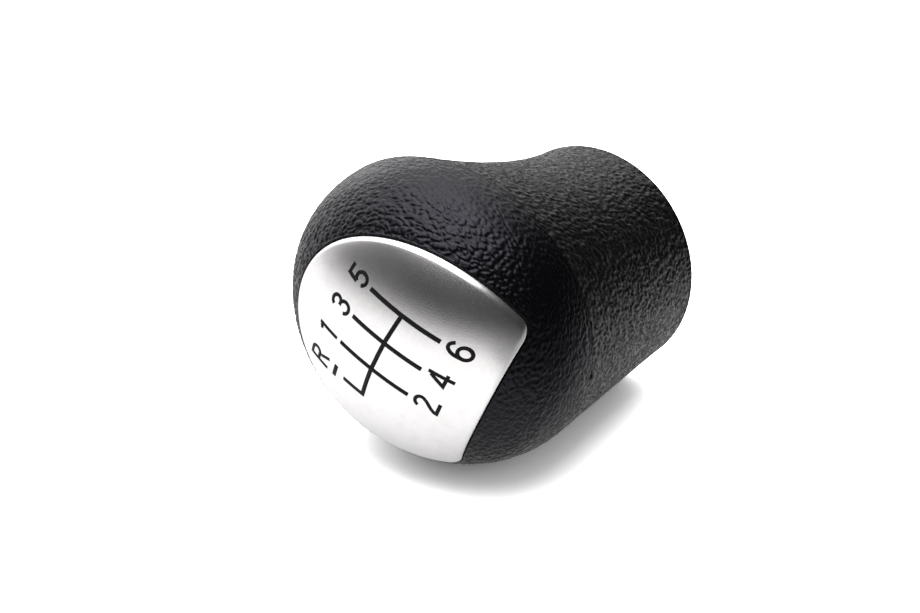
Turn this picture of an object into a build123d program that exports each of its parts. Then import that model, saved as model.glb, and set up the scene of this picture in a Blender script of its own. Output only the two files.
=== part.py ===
# Gear shift knob: a grained head on a flared neck, a silver cap and the socket for the lever.
# The lever axis is Z, the rim of the neck stands on Z = 0, +Y is the front and +X the right.
from build123d import *
import math
import os

# Driving dimensions, in millimetres and degrees

# Neck
rim_radius = 22.5         # outside of the round rim
rim_wall = 3.0            # wall of the neck at the rim
rim_edge = 0.8            # rounding of the rim's outer edge
flare_side = 1.4          # how late the neck widens towards the seam, at the sides
flare_front = 2.05        # at the front
flare_rear = 1.1          # at the rear
neck_spans = 4            # lofted lengths between the rim and the seam

# Head
seam_height = 42.5        # middle of the seam above the rim
seam_edge = 0.25          # bevels of head and neck that meet in the seam
head_half_width = 28.5
head_half_length = 31.2
head_offset = 5.2         # middle of the head ahead of the lever axis
head_tilt = 3.5           # the head leans back towards the driver
dome_height = 24.5
dome_power = 2.15         # 2 is a true ellipse, more gives a fuller shoulder
dome_step = 15            # degrees between the dome's lofted ovals
pocket_share = 0.42       # how far up the dome the floor of the cap's pocket lies
deck = 2.5                # wall of the head between the flange and the cap's pocket
lap_wall = 3.6            # wall of the head where it laps over the neck's spigot
pocket_edge = 0.4         # rounding of the head where it dips to the cap

# Cap
border_side = 7.45        # head seen from above, between its outline and the cap at the sides
border_front = 9.4        # at the front
border_rear = 10.15       # at the middle of the cap's rear edge
cap_offset = -4.6         # middle of the cap's oval, from the middle of the head
rear_bow = 128.0          # radius of the rear edge, which is almost straight
cap_corner = 5.0
cap_wall = 2.4            # the cap is a shell with a skirt that stands on the deck
cap_proud = 0.35          # the cap stands this far above the head
cap_edge = 1.5            # rounding of the cap's upper edge
peg_radius = 1.6
peg_depth = 1.5           # pegs reach this far into the deck
peg_side = 11.0           # rear pegs from the middle plane
peg_rear = 10.0           # rear pegs behind the middle of the head
peg_front = 11.0          # front peg ahead of the middle of the head

# Lever socket
bore_radius = 6.0
bore_depth = 40.0
socket_wall = 3.5
flange_thickness = 3.0
rib_thickness = 2.0
rib_start = 6.0           # the ribs begin this far above the rim

# Fits
spigot_wall = 2.0
slip = 0.1                # between the head and the spigot or flange inside it
cap_gap = 0.15            # round the cap
peg_gap = 0.1             # round and below the cap's pegs
rib_gap = 0.3             # between the ribs and the neck

# Worked out from the above
stretch = head_half_length / head_half_width
cap_half_width = head_half_width - border_side
cap_half_length = head_half_length - border_front - cap_offset
cap_rear = head_half_length - border_rear
head_place = Pos(0, head_offset, seam_height) * Rot(X=head_tilt)
pocket_floor = dome_height * pocket_share
lap_depth = pocket_floor - deck
spigot_height = lap_depth - flange_thickness
spigot_inset = lap_wall + slip
bore_inset = spigot_inset + spigot_wall
socket_radius = bore_radius + socket_wall
socket_top = seam_height + spigot_height + flange_thickness / 2
pegs = [(peg_side, -peg_rear), (-peg_side, -peg_rear), (0, peg_front)]


def oval(half_width, half_length):
    # drawn long side first, so that every oval of a loft starts at the front
    return Rot(Z=90) * Ellipse(half_length, half_width)


# The neck, a loft of ovals from the round rim to the seam

def neck_oval(share, inset):
    front = rim_radius + (head_half_length + head_offset - rim_radius) * share**flare_front
    rear = rim_radius + (head_half_length - head_offset - rim_radius) * share**flare_rear
    side = rim_radius + (head_half_width - rim_radius) * share**flare_side
    lean = head_tilt * share**2 * (3 - 2 * share)
    place = Pos(0, (front - rear) / 2, seam_height * share) * Rot(X=lean)
    return place * oval(side - inset, (front + rear) / 2 * (1 - inset / side))


def neck_form(rim_inset, seam_inset):
    shares = [i / neck_spans for i in range(neck_spans + 1)]
    return loft([neck_oval(s, rim_inset + (seam_inset - rim_inset) * s) for s in shares])


def lap_oval(inset):
    width = head_half_width - inset
    return oval(width, width * stretch)


def make_neck_sleeve():
    skin = neck_form(0, 0)
    rim = skin.edges().sort_by(Axis.Z)[0]
    skin = fillet(rim, rim_edge)
    seam = skin.edges().sort_by(Axis.Z)[-1]
    skin = chamfer(seam, seam_edge)
    spigot = extrude(lap_oval(spigot_inset) - lap_oval(bore_inset), spigot_height)
    return skin - neck_form(rim_wall, bore_inset) + head_place * spigot


# The head and its cap, in the head's own frame with the seam at zero height

def dome_oval(angle, grow):
    rise = math.sin(math.radians(angle))
    share = (1 - rise**dome_power) ** (1 / dome_power)
    width = (head_half_width + grow) * share
    return Pos(0, 0, (dome_height + grow) * rise) * oval(width, width * stretch)


def dome(grow):
    ovals = [dome_oval(angle, grow) for angle in range(0, 90, dome_step)]
    return loft(ovals + [Vertex(0, 0, dome_height + grow)])


def cap_block(grow):
    # the cap's plan, an oval cut off at the rear with round corners, raised from the pocket's floor
    full = Pos(0, cap_offset) * oval(cap_half_width + grow, cap_half_length + grow)
    plan = full & Pos(0, rear_bow - cap_rear) * Circle(rear_bow + grow)
    corners = plan.vertices().group_by(Axis.Y)[0]
    return Pos(0, 0, pocket_floor) * extrude(fillet(corners, cap_corner + grow), dome_height)


def cap_line(solid):
    # the edges where the cap's plan cuts the dome: above the floor, and off the dome's closing line at x = 0
    skin = solid.faces().filter_by(GeomType.BSPLINE).sort_by(SortBy.AREA)[-1]
    raised = skin.edges().filter_by(lambda edge: edge.center().Z > pocket_floor)
    return raised.filter_by(lambda edge: edge.bounding_box().size.X > peg_gap)


def peg_posts(radius, depth):
    foot = pocket_floor - depth
    return [Pos(x, y, foot) * extrude(Circle(radius), dome_height - foot) for x, y in pegs]


def make_head_shell():
    shell = dome(0) - cap_block(cap_gap)
    shell = fillet(cap_line(shell), pocket_edge)
    seam = shell.edges().group_by(Axis.Z)[0]
    shell = chamfer(seam, seam_edge)
    shell = shell - extrude(lap_oval(lap_wall), lap_depth)
    for hole in peg_posts(peg_radius + peg_gap, peg_depth + peg_gap):
        shell = shell - hole
    return head_place * shell


def make_pattern_cap():
    cap = cap_block(0) & dome(cap_proud)
    cap = fillet(cap_line(cap), cap_edge)
    hollow = dome(cap_proud - cap_wall)
    cap = cap - (cap_block(-cap_wall) & hollow)
    for post in peg_posts(peg_radius, peg_depth):
        cap = cap + (post & dome(cap_proud - cap_wall / 2))
    return head_place * cap


# The lever socket: a blind bore, four ribs and the flange that is trapped on top of the spigot

def make_lever_socket():
    tube = extrude(Circle(socket_radius), socket_top)
    flange = Pos(0, 0, spigot_height) * extrude(lap_oval(spigot_inset), flange_thickness)
    room = neck_form(rim_wall + rib_gap, bore_inset + rib_gap)
    room = room + head_place * extrude(lap_oval(bore_inset + rib_gap), spigot_height)
    socket = tube + head_place * flange
    for turn in (45, -45):
        rib = Rectangle(4 * head_half_length, rib_thickness)
        plate = Pos(0, 0, rib_start) * Rot(Z=turn) * extrude(rib, socket_top - rib_start)
        socket = socket + (plate & room)
    return socket - extrude(Circle(bore_radius), bore_depth)


os.makedirs("parts", exist_ok=True)
export_step(make_head_shell(), "parts/head_shell.step")
export_step(make_neck_sleeve(), "parts/neck_sleeve.step")
export_step(make_pattern_cap(), "parts/pattern_cap.step")
export_step(make_lever_socket(), "parts/lever_socket.step")
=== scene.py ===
# Gear shift knob lying on a white floor: grained head and neck, silver cap with its printed gate.
import math
import bmesh
import bpy
from mathutils import Matrix, Vector, noise


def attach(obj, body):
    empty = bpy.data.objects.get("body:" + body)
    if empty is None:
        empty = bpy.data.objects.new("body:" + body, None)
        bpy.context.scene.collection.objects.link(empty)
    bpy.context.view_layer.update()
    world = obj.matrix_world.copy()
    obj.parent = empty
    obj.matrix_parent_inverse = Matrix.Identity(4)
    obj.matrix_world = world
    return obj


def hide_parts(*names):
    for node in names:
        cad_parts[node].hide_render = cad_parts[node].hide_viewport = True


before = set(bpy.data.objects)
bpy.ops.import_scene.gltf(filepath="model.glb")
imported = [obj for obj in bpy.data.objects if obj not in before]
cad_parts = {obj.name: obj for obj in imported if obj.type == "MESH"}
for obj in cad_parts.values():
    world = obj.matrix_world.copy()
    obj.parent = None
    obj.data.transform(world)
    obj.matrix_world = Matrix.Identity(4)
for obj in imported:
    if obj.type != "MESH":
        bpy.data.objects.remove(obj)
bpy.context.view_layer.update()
mm = 0.001
print("frame loaded:", sorted(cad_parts))

# sizes that the pieces share with the CAD model, in mm and degrees
knob = {
    "rimRadius": 22.5,
    "seamHeight": 42.5,
    "headHalfWidth": 28.46,     # a hair inside the CAD model's box
    "headHalfLength": 31.16,
    "headOffset": 5.2,
    "headTilt": 3.5,
    "domeHeight": 24.5,
    "domePower": 2.15,
    "pocketShare": 0.42,        # how far up the dome the cap's pocket has its floor
    "deck": 2.5,                # wall below that floor
    "lapWall": 3.6,             # wall of the head where it laps over the neck's spigot
    "columns": 600,             # vertices round each ring
}
stretch = knob["headHalfLength"] / knob["headHalfWidth"]
pocketFloor = knob["domeHeight"] * knob["pocketShare"]
lapDepth = pocketFloor - knob["deck"]
headPlace = Matrix.Translation((0, knob["headOffset"], knob["seamHeight"]))
headPlace = headPlace @ Matrix.Rotation(math.radians(knob["headTilt"]), 4, "X")
angles = [2 * math.pi * i / knob["columns"] for i in range(knob["columns"])]


# a point in the head's own frame, where the seam is at zero height
def headPoint(x, y, z):
    return headPlace @ Vector((x, y, z)) * mm


def headOval(inset, z):
    width = knob["headHalfWidth"] - inset
    return [headPoint(width * math.cos(a), width * stretch * math.sin(a), z) for a in angles]


# height of the head's dome over a point in plan, grown outwards by some mm
def domeRise(x, y, grow):
    halfWidth = knob["headHalfWidth"] + grow
    rho = math.hypot(x, y / stretch) / halfWidth
    rise = max(0.0, 1 - rho ** knob["domePower"])
    return (knob["domeHeight"] + grow) * rise ** (1 / knob["domePower"])


def smooth(share):
    return share * share * (3 - 2 * share)


def vertsOf(geometry):
    return [part for part in geometry if isinstance(part, bmesh.types.BMVert)]


def ringEdges(bm, ring):
    return [bm.edges.get((ring[i - 1], ring[i])) for i in range(len(ring))]


def nextRing(bm, ring, points):
    made = bmesh.ops.extrude_edge_only(bm, edges=ringEdges(bm, ring))
    fresh = set(vertsOf(made["geom"]))
    grown = {}
    for vert in fresh:
        for edge in vert.link_edges:
            other = edge.other_vert(vert)
            if other not in fresh:
                grown[other] = vert
    ring = [grown[vert] for vert in ring]
    for vert, point in zip(ring, points):
        vert.co = point
    return ring


def closeRing(bm, ring, point):
    centre = bm.verts.new(point)
    for i in range(len(ring)):
        bm.faces.new((ring[i - 1], ring[i], centre))


# a skin over rings of points, each ring extruded on to the next one. The first and the last ring
# are closed with a point where one is given
def skinRings(bm, rings, firstPoint=None, lastPoint=None):
    made = bmesh.ops.create_circle(bm, cap_ends=False, radius=1.0, segments=knob["columns"])
    first = made["verts"]
    for vert, point in zip(first, rings[0]):
        vert.co = point
    if firstPoint:
        closeRing(bm, first, firstPoint)
    last = first
    for points in rings[1:]:
        last = nextRing(bm, last, points)
    if lastPoint:
        closeRing(bm, last, lastPoint)
    return first, last


weld = 1e-7     # metres, closer points are one


def newPiece(name, bm, material, replaced=None):
    bmesh.ops.remove_doubles(bm, verts=bm.verts, dist=weld)
    bmesh.ops.recalc_face_normals(bm, faces=bm.faces)
    for face in bm.faces:
        face.smooth = True
    mesh = bpy.data.meshes.new(name)
    bm.to_mesh(mesh)
    bm.free()
    mesh.materials.append(material)
    piece = bpy.data.objects.new(name, mesh)
    bpy.context.scene.collection.objects.link(piece)
    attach(piece, "root")
    if replaced:
        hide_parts(replaced)
    print("piece", name, len(mesh.polygons), "faces")


# materials: nodes read the object's own coordinates, and sizes are in mm

def linear(hexColour):
    parts = [int(hexColour[i:i + 2], 16) / 255 for i in (1, 3, 5)]
    return [c / 12.92 if c <= 0.04045 else ((c + 0.055) / 1.055) ** 2.4 for c in parts] + [1.0]


def setNode(tree, node, settings=None, links=None):
    for key, value in (settings or {}).items():
        if isinstance(key, int) or key in node.inputs:
            node.inputs[key].default_value = value
        else:
            setattr(node, key, value)
    for key, source in (links or {}).items():
        tree.links.new(source, node.inputs[key])
    return node


def addNode(tree, kind, settings=None, links=None):
    return setNode(tree, tree.nodes.new(kind), settings, links)


def newMaterial(name):
    material = bpy.data.materials.new(name)
    material.use_nodes = True
    tree = material.node_tree
    return material, tree, tree.nodes["Principled BSDF"]


# how far a noise really swings, less than from 0 to 1
noiseLow = 0.3
noiseHigh = 0.7

# moulded polypropylene: black, glossy on the pebbles, with a fine tooth of its own. The crease colour
# is painted shade: the dips of the tooth are a little darker
headGrain = {
    "pebble": "#040406",
    "crease": "#020202",
    "fineSize": 0.5,            # the tooth on top of the pebbles
    "depth": 0.02,
    "gloss": 0.24,
    "dull": 0.36,
    "specular": 0.18,
    "tint": "#f1ecff",          # the sheen is a little blue
}
neckGrain = {
    "pebble": "#050505",
    # painted shade: the crease colour darkens the dips of the tooth
    "crease": "#020202",
    "fineSize": 0.35,
    "depth": 0.03,
    "gloss": 0.3,
    "dull": 0.44,
    "specular": 0.26,
    "tint": "#fffaf8",
}


def grainMaterial(name, grain):
    material, tree, shader = newMaterial(name)
    spot = addNode(tree, "ShaderNodeTexCoord")
    tooth = addNode(tree, "ShaderNodeTexNoise",
                    {"Scale": 1 / (grain["fineSize"] * mm), "Detail": 3.0},
                    {"Vector": spot.outputs["Object"]})
    bump = addNode(tree, "ShaderNodeBump",
                   {"Strength": 1.0, "Distance": grain["depth"] * mm},
                   {"Height": tooth.outputs["Fac"]})
    # painted shade: the dips of the tooth, where its height is low, take the darker crease colour
    colour = addNode(tree, "ShaderNodeMix",
                     {"data_type": "RGBA", 6: linear(grain["crease"]), 7: linear(grain["pebble"])},
                     {0: tooth.outputs["Fac"]})
    rough = addNode(tree, "ShaderNodeMapRange",
                    {"From Min": noiseLow, "From Max": noiseHigh,
                     "To Min": grain["dull"], "To Max": grain["gloss"]},
                    {"Value": tooth.outputs["Fac"]})
    setNode(tree, shader,
            {"Specular IOR Level": grain["specular"], "Specular Tint": linear(grain["tint"])},
            {"Base Color": colour.outputs[2], "Roughness": rough.outputs["Result"],
             "Normal": bump.outputs["Normal"]})
    return material


# metallic painted ABS: silver flakes that blur the room into soft bright and dark fields
capPaint = {
    "flakeSize": 0.22,
    "flakeDark": "#dad9d9",
    "flakeLight": "#f0efef",
    "flakeTilt": 0.01,          # of bump
    "markSize": 2.4,            # faint warm clouds where it was handled
    "mark": "#c8bfbd",
    "markShare": 0.2,
    "markFrom": 0.45,           # the noise above this shows as marks
    "markFull": 0.75,
    "roughness": 0.27,
}


def paintMaterial():
    material, tree, shader = newMaterial("metallic painted ABS")
    spot = addNode(tree, "ShaderNodeTexCoord")
    flakes = addNode(tree, "ShaderNodeTexNoise",
                     {"Scale": 1 / (capPaint["flakeSize"] * mm), "Detail": 1.0},
                     {"Vector": spot.outputs["Object"]})
    colour = addNode(tree, "ShaderNodeMix",
                     {"data_type": "RGBA", 6: linear(capPaint["flakeDark"]),
                      7: linear(capPaint["flakeLight"])},
                     {0: flakes.outputs["Fac"]})
    clouds = addNode(tree, "ShaderNodeTexNoise",
                     {"Scale": 1 / (capPaint["markSize"] * mm), "Detail": 5.0},
                     {"Vector": spot.outputs["Object"]})
    marks = addNode(tree, "ShaderNodeMapRange",
                    {"From Min": capPaint["markFrom"], "From Max": capPaint["markFull"],
                     "To Min": 0.0, "To Max": capPaint["markShare"]},
                    {"Value": clouds.outputs["Fac"]})
    marked = addNode(tree, "ShaderNodeMix",
                     {"data_type": "RGBA", 7: linear(capPaint["mark"])},
                     {0: marks.outputs["Result"], 6: colour.outputs[2]})
    bump = addNode(tree, "ShaderNodeBump",
                   {"Strength": 1.0, "Distance": capPaint["flakeTilt"] * mm},
                   {"Height": flakes.outputs["Fac"]})
    setNode(tree, shader,
            {"Metallic": 1.0, "Roughness": capPaint["roughness"]},
            {"Base Color": marked.outputs[2], "Normal": bump.outputs["Normal"]})
    return material


# pad printed ink: matt black, a little thinner in specks where the pad left less of it
ink = {
    "thick": "#040404",
    "thin": "#0b0b0b",
    "speckSize": 0.4,
    "gloss": 0.52,
    "dull": 0.68,
    "specular": 0.15,
}


def inkMaterial():
    material, tree, shader = newMaterial("pad printed ink")
    spot = addNode(tree, "ShaderNodeTexCoord")
    specks = addNode(tree, "ShaderNodeTexNoise",
                     {"Scale": 1 / (ink["speckSize"] * mm), "Detail": 2.0},
                     {"Vector": spot.outputs["Object"]})
    colour = addNode(tree, "ShaderNodeMix",
                     {"data_type": "RGBA", 6: linear(ink["thick"]), 7: linear(ink["thin"])},
                     {0: specks.outputs["Fac"]})
    rough = addNode(tree, "ShaderNodeMapRange",
                    {"From Min": noiseLow, "From Max": noiseHigh,
                     "To Min": ink["gloss"], "To Max": ink["dull"]},
                    {"Value": specks.outputs["Fac"]})
    setNode(tree, shader,
            {"Specular IOR Level": ink["specular"]},
            {"Base Color": colour.outputs[2], "Roughness": rough.outputs["Result"]})
    return material


# glass filled nylon of the socket: grey black, with the faint flow streaks and dull tooth of its mould
nylon = {
    "light": "#1c1d1f",
    "dark": "#0f1011",
    "streakSize": 5.0,
    "streakLong": 0.25,         # the streaks run along the lever
    "toothSize": 0.3,
    "toothDepth": 0.02,
    "gloss": 0.42,
    "dull": 0.62,
}


def nylonMaterial():
    material, tree, shader = newMaterial("glass filled nylon")
    spot = addNode(tree, "ShaderNodeTexCoord")
    along = addNode(tree, "ShaderNodeVectorMath",
                    {"operation": "MULTIPLY", 1: (1, 1, nylon["streakLong"])},
                    {0: spot.outputs["Object"]})
    streaks = addNode(tree, "ShaderNodeTexNoise",
                      {"Scale": 1 / (nylon["streakSize"] * mm), "Detail": 4.0},
                      {"Vector": along.outputs["Vector"]})
    tooth = addNode(tree, "ShaderNodeTexNoise",
                    {"Scale": 1 / (nylon["toothSize"] * mm), "Detail": 2.0},
                    {"Vector": spot.outputs["Object"]})
    colour = addNode(tree, "ShaderNodeMix",
                     {"data_type": "RGBA", 6: linear(nylon["dark"]), 7: linear(nylon["light"])},
                     {0: streaks.outputs["Fac"]})
    rough = addNode(tree, "ShaderNodeMapRange",
                    {"From Min": noiseLow, "From Max": noiseHigh,
                     "To Min": nylon["gloss"], "To Max": nylon["dull"]},
                    {"Value": tooth.outputs["Fac"]})
    bump = addNode(tree, "ShaderNodeBump",
                   {"Strength": 1.0, "Distance": nylon["toothDepth"] * mm},
                   {"Height": tooth.outputs["Fac"]})
    setNode(tree, shader, {},
            {"Base Color": colour.outputs[2], "Roughness": rough.outputs["Result"],
             "Normal": bump.outputs["Normal"]})
    return material


# leather grain of the mould, as relief sunk into the skin: pebbles parted by creases on the head
pebbles = {
    "size": 1.25,
    "crease": 0.34,             # width of a crease, as a share of a pebble
    "wander": 0.6,
    "wanderSize": 1.3,
    "depth": 0.2,
    "from": 4.0,                # above the seam, where the wrinkles begin to turn into pebbles
    "full": 11.0,
}
# and wrinkles on the neck
wrinkles = {
    "size": 0.9,
    "crease": 0.34,
    "flat": 1.2,                # wrinkles run round the neck
    "wander": 0.4,
    "wanderSize": 1.1,
    "depth": 0.27,
    "headShare": 0.55,          # they are shallower on the head
}


grainSeed = 5
noise.seed_set(grainSeed)       # the same grain each run


def pebbleDrop(point):
    moved = point + noise.noise_vector(point / pebbles["wanderSize"]) * pebbles["wander"]
    nearest = noise.voronoi(moved / pebbles["size"])[0]
    share = min(1.0, (nearest[1] - nearest[0]) / pebbles["crease"])
    return pebbles["depth"] * (1 - smooth(share))


def wrinkleDrop(point):
    flat = Vector((point.x, point.y, point.z * wrinkles["flat"]))
    moved = flat + noise.noise_vector(flat / wrinkles["wanderSize"]) * wrinkles["wander"]
    share = min(1.0, abs(noise.noise(moved / wrinkles["size"])) / wrinkles["crease"])
    return wrinkles["depth"] * (1 - smooth(share))


def headDrop(point):
    share = (point.z - pebbles["from"]) / (pebbles["full"] - pebbles["from"])
    share = min(1.0, max(0.0, share))
    return share * pebbleDrop(point) + (1 - share) * wrinkles["headShare"] * wrinkleDrop(point)


# silver cap: its plan is an oval cut off at the rear by a slight bow
cap = {
    "halfWidth": 21.05,
    "halfLength": 26.4,
    "offset": -4.6,
    "rear": 21.05,
    "rearBow": 128.0,           # radius of the rear edge
    "corner": 1.8,              # rounding where the oval meets the rear edge
    "proud": 0.3,
    "edge": 0.68,
    "edgeSteps": 8,
    "topRings": 48,
    "wall": 2.4,
    "underShares": (0.35, 0.7, 1.0),    # rings of the hollow underneath
    "gap": 0.15,
    "nearest": 4.0,             # the outline is looked for between these
    "farthest": 40.0,
    "halvings": 34,
}


# distance of a point in plan outside the cap's outline, less than zero inside it
def outlineGap(x, y, grow):
    halfWidth = cap["halfWidth"] + grow
    halfLength = cap["halfLength"] + grow
    ahead = y - cap["offset"]
    rho = math.hypot(x / halfWidth, ahead / halfLength)
    slope = math.hypot(x / halfWidth ** 2, ahead / halfLength ** 2) / rho
    corner = cap["corner"] + grow
    oval = (rho - 1) / slope + corner
    rear = math.hypot(x, y + cap["rear"] - cap["rearBow"]) - cap["rearBow"] - grow + corner
    return math.hypot(max(oval, 0), max(rear, 0)) + min(max(oval, rear), 0) - corner


def outlinePoint(angle, grow):
    dx = math.cos(angle)
    dy = math.sin(angle) * stretch
    near = cap["nearest"]
    far = cap["farthest"]
    for _ in range(cap["halvings"]):
        middle = (near + far) / 2
        if outlineGap(middle * dx, middle * dy, grow) < 0:
            near = middle
        else:
            far = middle
    return near * dx, near * dy


def outline(grow):
    return [outlinePoint(a, grow) for a in angles]


# head: from the lap inside the seam, round the seam's edge, up the dome and down into the pocket
head = {
    "seamEdge": 0.25,
    "seamSteps": 4,
    "domeRings": 120,
    "pocketEdge": 0.4,
    "pocketSteps": 8,
}


# a grained point of the dome, a share of the way up from the seam to the pocket's lip
def domePoint(angle, lip, share):
    start = math.asin(head["seamEdge"] / knob["domeHeight"])
    end = math.asin(domeRise(*lip, 0) / knob["domeHeight"])
    rise = math.sin(start + (end - start) * share)
    rho = (1 - rise ** knob["domePower"]) ** (1 / knob["domePower"]) * knob["headHalfWidth"]
    skin = Vector((rho * math.cos(angle), rho * stretch * math.sin(angle), rise * knob["domeHeight"]))
    outward = Vector((skin.x / knob["headHalfWidth"] ** 2, skin.y / knob["headHalfLength"] ** 2,
                      skin.z / knob["domeHeight"] ** 2)).normalized()
    return headPoint(*(skin - outward * headDrop(skin)))


def headRings():
    rings = [headOval(knob["lapWall"], lapDepth), headOval(knob["lapWall"], 0)]
    edge = head["seamEdge"]
    for step in range(head["seamSteps"] + 1):
        turn = math.pi / 2 * step / head["seamSteps"]
        rings.append(headOval(edge * (1 - math.sin(turn)), edge * (1 - math.cos(turn))))
    edge = head["pocketEdge"]
    lips = outline(cap["gap"] + edge)
    for step in range(1, head["domeRings"] + 1):
        share = step / head["domeRings"]
        rings.append([domePoint(a, lip, share) for a, lip in zip(angles, lips)])
    for step in range(1, head["pocketSteps"] + 1):
        turn = math.pi / 2 * step / head["pocketSteps"]
        drop = edge * (1 - math.cos(turn))
        plan = outline(cap["gap"] + edge * (1 - math.sin(turn)))
        rings.append([headPoint(x, y, domeRise(x, y, 0) - drop) for x, y in plan])
    rings.append([headPoint(x, y, pocketFloor) for x, y in outline(cap["gap"])])
    return rings


bm = bmesh.new()
skinRings(bm, headRings(), headPoint(0, 0, lapDepth), headPoint(0, 0, pocketFloor))
headMaterial = grainMaterial("moulded polypropylene, pebble grain", headGrain)
newPiece("head", bm, headMaterial, "head_shell")


# neck: a sleeve from the round rim to the seam, with the spigot that goes up into the head
neck = {
    "rimWall": 3.0,
    "rimEdge": 0.8,
    "rimSteps": 6,
    "flareSide": 1.4,
    "flareFront": 2.05,
    "flareRear": 1.1,
    "rings": 132,
    "innerRings": 16,
    "seamEdge": 0.25,
    "seamGap": 0.26,            # open joint below the head
    "seamSteps": 4,
    "grooveDepth": 1.5,         # the joint falls away inwards, so it stays dark
    "grooveInset": 1.6,
    "notchTurn": -75.5,         # degrees, where the joint gapes a little
    "notchWidth": 2.8,          # degrees to each side
    "notchDepth": 0.8,
    "notchReach": 0.03,         # share of the neck's height that dips with it
    "slip": 0.1,                # between the spigot and the head
    "spigotWall": 2.0,
    "flange": 3.0,              # of the socket, trapped between the spigot and the head
}
spigotInset = knob["lapWall"] + neck["slip"]
boreInset = spigotInset + neck["spigotWall"]
spigotHeight = lapDepth - neck["flange"]


def notchDip(angle, share):
    off = (math.degrees(angle) - neck["notchTurn"] + 180) % 360 - 180
    if abs(off) > neck["notchWidth"]:
        return 0.0
    dip = neck["notchDepth"] * (1 + math.cos(math.pi * off / neck["notchWidth"])) / 2
    return dip * max(0.0, 1 - (1 - share) / neck["notchReach"])


# the neck's oval at a share of its height
def neckRing(share, inset, grained=False):
    rim = knob["rimRadius"]
    front = rim + (knob["headHalfLength"] + knob["headOffset"] - rim) * share ** neck["flareFront"]
    rear = rim + (knob["headHalfLength"] - knob["headOffset"] - rim) * share ** neck["flareRear"]
    side = rim + (knob["headHalfWidth"] - rim) * share ** neck["flareSide"]
    lean = math.radians(knob["headTilt"]) * smooth(share)
    place = Matrix.Translation((0, (front - rear) / 2, knob["seamHeight"] * share))
    place = place @ Matrix.Rotation(lean, 4, "X")
    halfLength = (front + rear) / 2 * (1 - inset / side)
    width = side - inset
    ring = []
    for a in angles:
        skin = place @ Vector((width * math.cos(a), halfLength * math.sin(a), 0))
        if grained:
            skin -= Vector((math.cos(a), math.sin(a), 0)) * wrinkleDrop(skin)
            skin.z -= notchDip(a, share)
        ring.append(skin * mm)
    return ring


def neckRings():
    rings = []
    top = knob["seamHeight"]
    edge = neck["rimEdge"]
    for step in range(neck["rimSteps"] + 1):
        turn = math.pi / 2 * step / neck["rimSteps"]
        rings.append(neckRing(edge * (1 - math.cos(turn)) / top, edge * (1 - math.sin(turn))))
    start = edge / top
    edge = neck["seamEdge"]
    end = 1 - (edge + neck["seamGap"]) / top
    for step in range(1, neck["rings"] + 1):
        rings.append(neckRing(start + (end - start) * step / neck["rings"], 0, True))
    for step in range(1, neck["seamSteps"] + 1):
        turn = math.pi / 2 * step / neck["seamSteps"]
        share = 1 - (neck["seamGap"] + edge * (1 - math.sin(turn))) / top
        rings.append(neckRing(share, edge * (1 - math.cos(turn)), True))
    rings.append(neckRing(1 - neck["grooveDepth"] / top, neck["grooveInset"]))
    rings.append(headOval(spigotInset, 0))
    rings.append(headOval(spigotInset, spigotHeight))
    rings.append(headOval(boreInset, spigotHeight))
    for step in range(neck["innerRings"], -1, -1):
        share = step / neck["innerRings"]
        rings.append(neckRing(share, neck["rimWall"] + (boreInset - neck["rimWall"]) * share))
    return rings


bm = bmesh.new()
first, last = skinRings(bm, neckRings())
bmesh.ops.bridge_loops(bm, edges=ringEdges(bm, first) + ringEdges(bm, last))
neckMaterial = grainMaterial("moulded polypropylene, wrinkle grain", neckGrain)
newPiece("neck", bm, neckMaterial, "neck_sleeve")


# cap: the hollow underneath, skirt from the pocket's floor, round edge and crowned top
def capRings():
    rings = []
    inner = outline(-cap["wall"])
    under = cap["proud"] - cap["wall"]
    for share in cap["underShares"]:
        spots = [(x * share, y * share) for x, y in inner]
        rings.append([headPoint(x, y, domeRise(x, y, under)) for x, y in spots])
    rings.append([headPoint(x, y, pocketFloor) for x, y in inner])
    rings.append([headPoint(x, y, pocketFloor) for x, y in outline(0)])
    edge = cap["edge"]
    for step in range(cap["edgeSteps"] + 1):
        turn = math.pi / 2 * step / cap["edgeSteps"]
        drop = edge * (1 - math.sin(turn))
        plan = outline(-edge * (1 - math.cos(turn)))
        rings.append([headPoint(x, y, domeRise(x, y, cap["proud"]) - drop) for x, y in plan])
    plan = outline(-edge)
    for step in range(1, cap["topRings"]):
        share = 1 - step / cap["topRings"]
        spots = [(x * share, y * share) for x, y in plan]
        rings.append([headPoint(x, y, domeRise(x, y, cap["proud"])) for x, y in spots])
    return rings


bm = bmesh.new()
crown = knob["domeHeight"] + cap["proud"]
skinRings(bm, capRings(), headPoint(0, 0, crown - cap["wall"]), headPoint(0, 0, crown))
newPiece("cap", bm, paintMaterial(), "pattern_cap")


# pad print on the cap: the gate's lines and the gears, a thin film of ink that follows the crown
gate = {
    # middle of each leg, its front end, its rear end and where the cross line meets it
    "legs": (
        (10.1, 6.95, -9.15, -0.8),
        (3.55, 7.35, -8.7, -0.5),
        (-2.9, 7.35, -8.6, -0.45),
        (-9.8, 4.1, -1.07, -0.65),
    ),
    "width": 0.87,
    "bar": ((-11.35, 6.3), (-8.45, 6.3)),       # under the R
    "barWidth": 0.9,
    "film": 0.03,
    "cell": 0.6,                # cuts that let the film bend with the crown
    "cellsSide": 22,            # from the cap's middle to each side
    "cellsRear": 28,
    "cellsFront": 25,
    "mitre": 0.4,               # sharper turns of a stroke aren't drawn out further
    "weld": 1e-4,
}


# points on part of an oval, in degrees from the right
def arc(x, y, halfWidth, halfHeight, first, last):
    degreesApart = 12
    steps = max(2, round(abs(last - first) / degreesApart))
    turns = [math.radians(first + (last - first) * i / steps) for i in range(steps + 1)]
    return [(x + halfWidth * math.cos(t), y + halfHeight * math.sin(t)) for t in turns]


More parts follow.
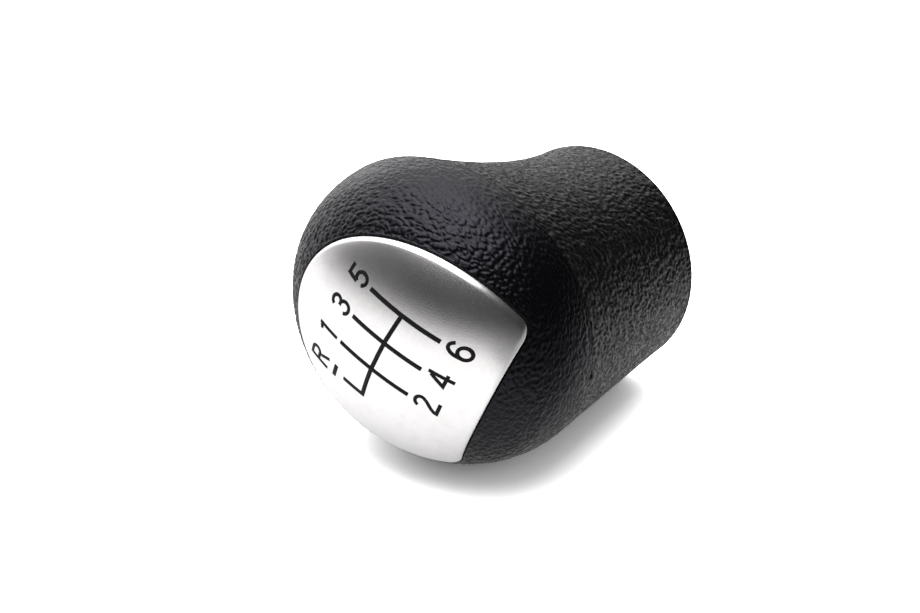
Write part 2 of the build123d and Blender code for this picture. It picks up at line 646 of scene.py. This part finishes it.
# the figures as pen strokes round their own middle
figures = {
    "stroke": 0.7,
    "places": {
        "5": (10.1, 10.27),
        "3": (3.4, 10.62),
        "1": (-2.96, 10.68),
        "R": (-10.05, 10.6),
        "6": (10.2, -12.85),
        "4": (3.7, -12.4),
        "2": (-2.68, -12.3),
    },
    "5": [
        [(1.15, 2.06), (-0.74, 2.06), (-0.98, -0.1)],
        arc(0.03, -0.83, 1.08, 1.25, 146, -158),
    ],
    "3": [
        arc(0, 1.15, 1.0, 0.97, 165, -72) + [(-0.35, 0.22)],
        arc(0, -0.9, 1.1, 1.16, 62, -165),
    ],
    "1": [
        [(0, 2.4), (0, -2.4)],
        [(-0.35, 2.05), (-0.5, 1.72), (-1.1, 1.5)],
    ],
    "R": [
        [(-1.2, 2.45), (-1.2, -2.45)],
        [(-0.85, 2.1)] + arc(0.35, 1.13, 0.85, 0.97, 90, -90) + [(-0.85, 0.16)],
        [(0.25, -0.19), (1.25, -2.45)],
    ],
    "6": [
        arc(0, -0.93, 1.08, 1.33, 178, -182),
        [(-1.08, -0.9)] + arc(0.12, 0.1, 1.2, 2.18, 180, 38),
    ],
    "4": [
        [(0.58, 2.55), (0.58, -2.55)],
        [(0.23, 1.95), (-1.12, -0.98), (0.23, -0.98)],
        [(0.93, -0.98), (1.42, -0.98)],
    ],
    "2": [
        arc(0, 1.25, 1.05, 1.0, 170, -25)
        + [(0.55, 0.15), (-0.55, -1.05), (-0.98, -1.75), (-1.05, -2.2), (1.4, -2.2)],
    ],
}


# a stroke of some width along a line of points, with square ends and mitred turns
def addStroke(bm, points, width):
    made = bmesh.ops.create_grid(bm, x_segments=len(points) - 1, y_segments=1, size=1.0)
    ways = [(Vector(b) - Vector(a)).normalized() for a, b in zip(points, points[1:])]
    for i, point in enumerate(points):
        before = ways[max(i - 1, 0)]
        after = ways[min(i, len(ways) - 1)]
        along = (before + after).normalized()
        reach = width / 2 / max(along.dot(after), gate["mitre"])
        side = Vector((-along.y, along.x)) * reach
        made["verts"][i].co = (*(Vector(point) - side), 0)
        made["verts"][len(points) + i].co = (*(Vector(point) + side), 0)


def drawPrint(bm):
    half = gate["width"] / 2
    for x, front, rear, _ in gate["legs"]:
        addStroke(bm, [(x, front), (x, rear)], gate["width"])
    for right, left in zip(gate["legs"], gate["legs"][1:]):
        addStroke(bm, [(right[0] - half, right[3]), (left[0] + half, left[3])], gate["width"])
    addStroke(bm, gate["bar"], gate["barWidth"])
    for figure, (x, y) in figures["places"].items():
        for stroke in figures[figure]:
            addStroke(bm, [(x + px, y + py) for px, py in stroke], figures["stroke"])


# cuts the flat print into cells, lays it on the crown and gives it its thickness
def drapePrint(bm):
    acrossCuts = range(-gate["cellsSide"], gate["cellsSide"] + 1)
    alongCuts = range(-gate["cellsRear"], gate["cellsFront"] + 1)
    for facing, cuts in ((Vector((1, 0, 0)), acrossCuts), (Vector((0, 1, 0)), alongCuts)):
        for cut in cuts:
            everything = bm.verts[:] + bm.edges[:] + bm.faces[:]
            bmesh.ops.bisect_plane(bm, geom=everything, dist=gate["weld"] / 10,
                                   plane_co=facing * cut * gate["cell"], plane_no=facing)
    bmesh.ops.remove_doubles(bm, verts=bm.verts, dist=gate["weld"])
    for vert in bm.verts:
        x, y = vert.co.x, vert.co.y
        vert.co = headPoint(x, y, domeRise(x, y, cap["proud"]) + gate["film"])
    bmesh.ops.recalc_face_normals(bm, faces=bm.faces)
    made = bmesh.ops.extrude_face_region(bm, geom=bm.faces[:])
    down = headPlace.to_3x3() @ Vector((0, 0, -2 * gate["film"] * mm))
    bmesh.ops.translate(bm, verts=vertsOf(made["geom"]), vec=down)


bm = bmesh.new()
drawPrint(bm)
drapePrint(bm)
newPiece("gate_print", bm, inkMaterial())

# the lever's socket keeps its CAD form
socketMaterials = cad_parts["lever_socket"].data.materials
socketMaterials.clear()
socketMaterials.append(nylonMaterial())
print("socket finished")


# camera at the photograph's viewing angle, in mm
camera = {
    "lens": 100.0,
    "sensor": 36.0,
    "clip": (10, 20000),
    "place": (282.16, -140.97, 395.78),
    "right": (0.3639, -0.7246, -0.5852),
    "up": (0.7188, 0.6181, -0.3183),
    "back": (0.5924, -0.3048, 0.7458),
}
cameraData = bpy.data.cameras.new("camera")
cameraData.lens = camera["lens"]
cameraData.sensor_width = camera["sensor"]
cameraData.clip_start = camera["clip"][0] * mm
cameraData.clip_end = camera["clip"][1] * mm
cameraObject = bpy.data.objects.new("camera", cameraData)
axes = Matrix((camera["right"], camera["up"], camera["back"])).transposed()
cameraObject.matrix_world = Matrix.Translation(Vector(camera["place"]) * mm) @ axes.to_4x4()
bpy.context.scene.collection.objects.link(cameraObject)
bpy.context.scene.camera = cameraObject

# white paper: bright enough to the camera that only the shadow close to the knob stays grey.
# the knob lies on its left side, so the floor stands beside it
paper = {
    "up": (0.92023, 0.37685, 0.10564),      # away from the floor, in the knob's frame
    "below": 22.42,             # mm under the middle of the rim
    "middle": 30.0,             # mm up the knob, above the middle of the floor
    "halfSize": 3000.0,
    "colour": 0.8,
    "seen": 0.8,                # added for the camera
    "mirrored": -0.46,          # added in reflections
    "glow": 0.53,               # light of its own in reflections
    "shaded": -0.17,            # added in reflections far off on the right, which has no glow
    "rightSide": (-15, 40),     # mm to the right of the rim, where that begins and is full
    "brightSpot": (20, 30),     # mm right and back of the rim
    "farOff": (70, 110),        # mm from the bright spot
}
floorUp = Vector(paper["up"]).normalized()
floorRight = Vector(camera["right"]).normalized()
floorBack = floorUp.cross(floorRight)
floorFoot = floorUp * -paper["below"] * mm
floorMiddle = floorFoot + floorUp.cross(Vector((0, 0, paper["middle"])) * mm).cross(floorUp)
floorPlace = Matrix((floorRight, floorBack, floorUp)).transposed().to_4x4()
floorPlace = Matrix.Translation(floorMiddle) @ floorPlace


# a direction given as right, back and up from the floor
def floorWay(right, back, up):
    return floorRight * right + floorBack * back + floorUp * up


def paperMaterial():
    material, tree, _ = newMaterial("white paper")
    tree.nodes.clear()
    light = addNode(tree, "ShaderNodeLightPath")
    mirrored = addNode(tree, "ShaderNodeMath", {"operation": "MAXIMUM"},
                       {0: light.outputs["Is Glossy Ray"], 1: light.outputs["Is Transmission Ray"]})
    spot = addNode(tree, "ShaderNodeTexCoord")
    across = addNode(tree, "ShaderNodeVectorMath", {"operation": "DOT_PRODUCT", 1: floorRight},
                     {0: spot.outputs["Object"]})
    brightSpot = floorFoot + floorWay(*paper["brightSpot"], 0) * mm
    away = addNode(tree, "ShaderNodeVectorMath", {"operation": "DISTANCE", 1: brightSpot},
                   {0: spot.outputs["Object"]})
    shade = mirrored
    for measure, reach in ((across, paper["rightSide"]), (away, paper["farOff"])):
        share = addNode(tree, "ShaderNodeMapRange",
                        {"interpolation_type": "SMOOTHSTEP",
                         "From Min": reach[0] * mm, "From Max": reach[1] * mm},
                        {"Value": measure.outputs["Value"]})
        shade = addNode(tree, "ShaderNodeMath", {"operation": "MULTIPLY"},
                        {0: share.outputs["Result"], 1: shade.outputs[0]})
    tone = addNode(tree, "ShaderNodeMath",
                   {"operation": "MULTIPLY_ADD", 1: paper["seen"], 2: paper["colour"]},
                   {0: light.outputs["Is Camera Ray"]})
    for ray, change in ((mirrored, paper["mirrored"]), (shade, paper["shaded"])):
        tone = addNode(tree, "ShaderNodeMath", {"operation": "MULTIPLY_ADD", 1: change},
                       {0: ray.outputs[0], 2: tone.outputs[0]})
    diffuse = addNode(tree, "ShaderNodeBsdfDiffuse", {}, {"Color": tone.outputs[0]})
    lit = addNode(tree, "ShaderNodeMath", {"operation": "SUBTRACT"},
                  {0: mirrored.outputs[0], 1: shade.outputs[0]})
    lit = addNode(tree, "ShaderNodeMath", {"operation": "MULTIPLY", 1: paper["glow"]},
                  {0: lit.outputs[0]})
    glow = addNode(tree, "ShaderNodeEmission", {"Color": linear("#ffffff")},
                   {"Strength": lit.outputs[0]})
    both = addNode(tree, "ShaderNodeAddShader", {}, {0: diffuse.outputs[0], 1: glow.outputs[0]})
    # see-through from below, for views of the underside
    clear = addNode(tree, "ShaderNodeBsdfTransparent")
    side = addNode(tree, "ShaderNodeNewGeometry")
    mixed = addNode(tree, "ShaderNodeMixShader", {},
                    {0: side.outputs["Backfacing"], 1: both.outputs[0], 2: clear.outputs[0]})
    addNode(tree, "ShaderNodeOutputMaterial", {}, {"Surface": mixed.outputs[0]})
    return material


bm = bmesh.new()
bmesh.ops.create_grid(bm, x_segments=1, y_segments=1, size=paper["halfSize"] * mm, matrix=floorPlace)
mesh = bpy.data.meshes.new("floor")
bm.to_mesh(mesh)
bm.free()
mesh.materials.append(paperMaterial())
floor = bpy.data.objects.new("floor", mesh)
bpy.context.scene.collection.objects.link(floor)
print("camera and floor placed")

# a soft lamp overhead: right, back and up from the middle of the floor, in mm
lamp = {
    "place": (-25, -105, 640),
    "aim": (0, 0, 25),
    "size": 500,
    "power": 2.4,
    "colour": "#ffffff",
}
lampData = bpy.data.lights.new("overhead", "AREA")
lampData.energy = lamp["power"]
lampData.size = lamp["size"] * mm
lampData.color = linear(lamp["colour"])[:3]
lampObject = bpy.data.objects.new("overhead", lampData)
place = floorPlace @ (Vector(lamp["place"]) * mm)
aim = floorPlace @ (Vector(lamp["aim"]) * mm)
turn = (place - aim).to_track_quat("Z", "Y").to_matrix().to_4x4()
lampObject.matrix_world = Matrix.Translation(place) @ turn
bpy.context.scene.collection.objects.link(lampObject)

# the studio round it, with brightness that changes softly along a direction given as right, back
# and up: from the first tone to the second, between two cosines
studio = {
    "ceiling": {"way": (-0.1, 0.05, 0.99), "span": (0.76, 0.985), "tones": (0.012, 3.2)},
    "wall": {"way": (-0.24, 0.75, 0.616), "span": (0.42, 0.97), "tones": (0.012, 2.7)},
    "left": {"way": (1, 0, 0), "span": (-0.95, -0.55), "tones": (0.08, 0.0)},
    "haze": {"way": (0, 0, 1), "span": (-0.02, 0.26), "tones": (0.68, 0.0)},
    "hazeShare": {"way": (1, 0, 0), "span": (-0.1, 0.75), "tones": (1.0, 0.0)},
    "even": 0.8,                # from all round on dull surfaces, which softens the shadow
    "colour": "#f8f7f7",
}
world = bpy.data.worlds.new("studio")
bpy.context.scene.world = world
world.use_nodes = True
tree = world.node_tree
tree.nodes.clear()
light = addNode(tree, "ShaderNodeLightPath")
ray = addNode(tree, "ShaderNodeTexCoord")


def fade(name):
    soft = studio[name]
    share = addNode(tree, "ShaderNodeVectorMath",
                    {"operation": "DOT_PRODUCT", 1: floorWay(*soft["way"]).normalized()},
                    {0: ray.outputs["Generated"]})
    toned = addNode(tree, "ShaderNodeMapRange",
                    {"interpolation_type": "SMOOTHSTEP",
                     "From Min": soft["span"][0], "From Max": soft["span"][1],
                     "To Min": soft["tones"][0], "To Max": soft["tones"][1]},
                    {"Value": share.outputs["Value"]})
    return toned.outputs["Result"]


tone = addNode(tree, "ShaderNodeMath", {"operation": "ADD"}, {0: fade("ceiling"), 1: fade("wall")})
tone = addNode(tree, "ShaderNodeMath", {"operation": "ADD"}, {0: fade("left"), 1: tone.outputs[0]})
tone = addNode(tree, "ShaderNodeMath", {"operation": "MULTIPLY_ADD"},
               {0: fade("haze"), 1: fade("hazeShare"), 2: tone.outputs[0]})
tone = addNode(tree, "ShaderNodeMath", {"operation": "MULTIPLY_ADD", 1: studio["even"]},
               {0: light.outputs["Is Diffuse Ray"], 2: tone.outputs[0]})
room = addNode(tree, "ShaderNodeBackground", {"Color": linear(studio["colour"])},
               {"Strength": tone.outputs[0]})
white = addNode(tree, "ShaderNodeBackground", {"Color": linear("#ffffff"), "Strength": 1.0})
mixed = addNode(tree, "ShaderNodeMixShader", {},
                {0: light.outputs["Is Camera Ray"], 1: room.outputs[0], 2: white.outputs[0]})
addNode(tree, "ShaderNodeOutputWorld", {}, {"Surface": mixed.outputs[0]})
bpy.context.scene.view_settings.view_transform = "Standard"
print("studio lit")
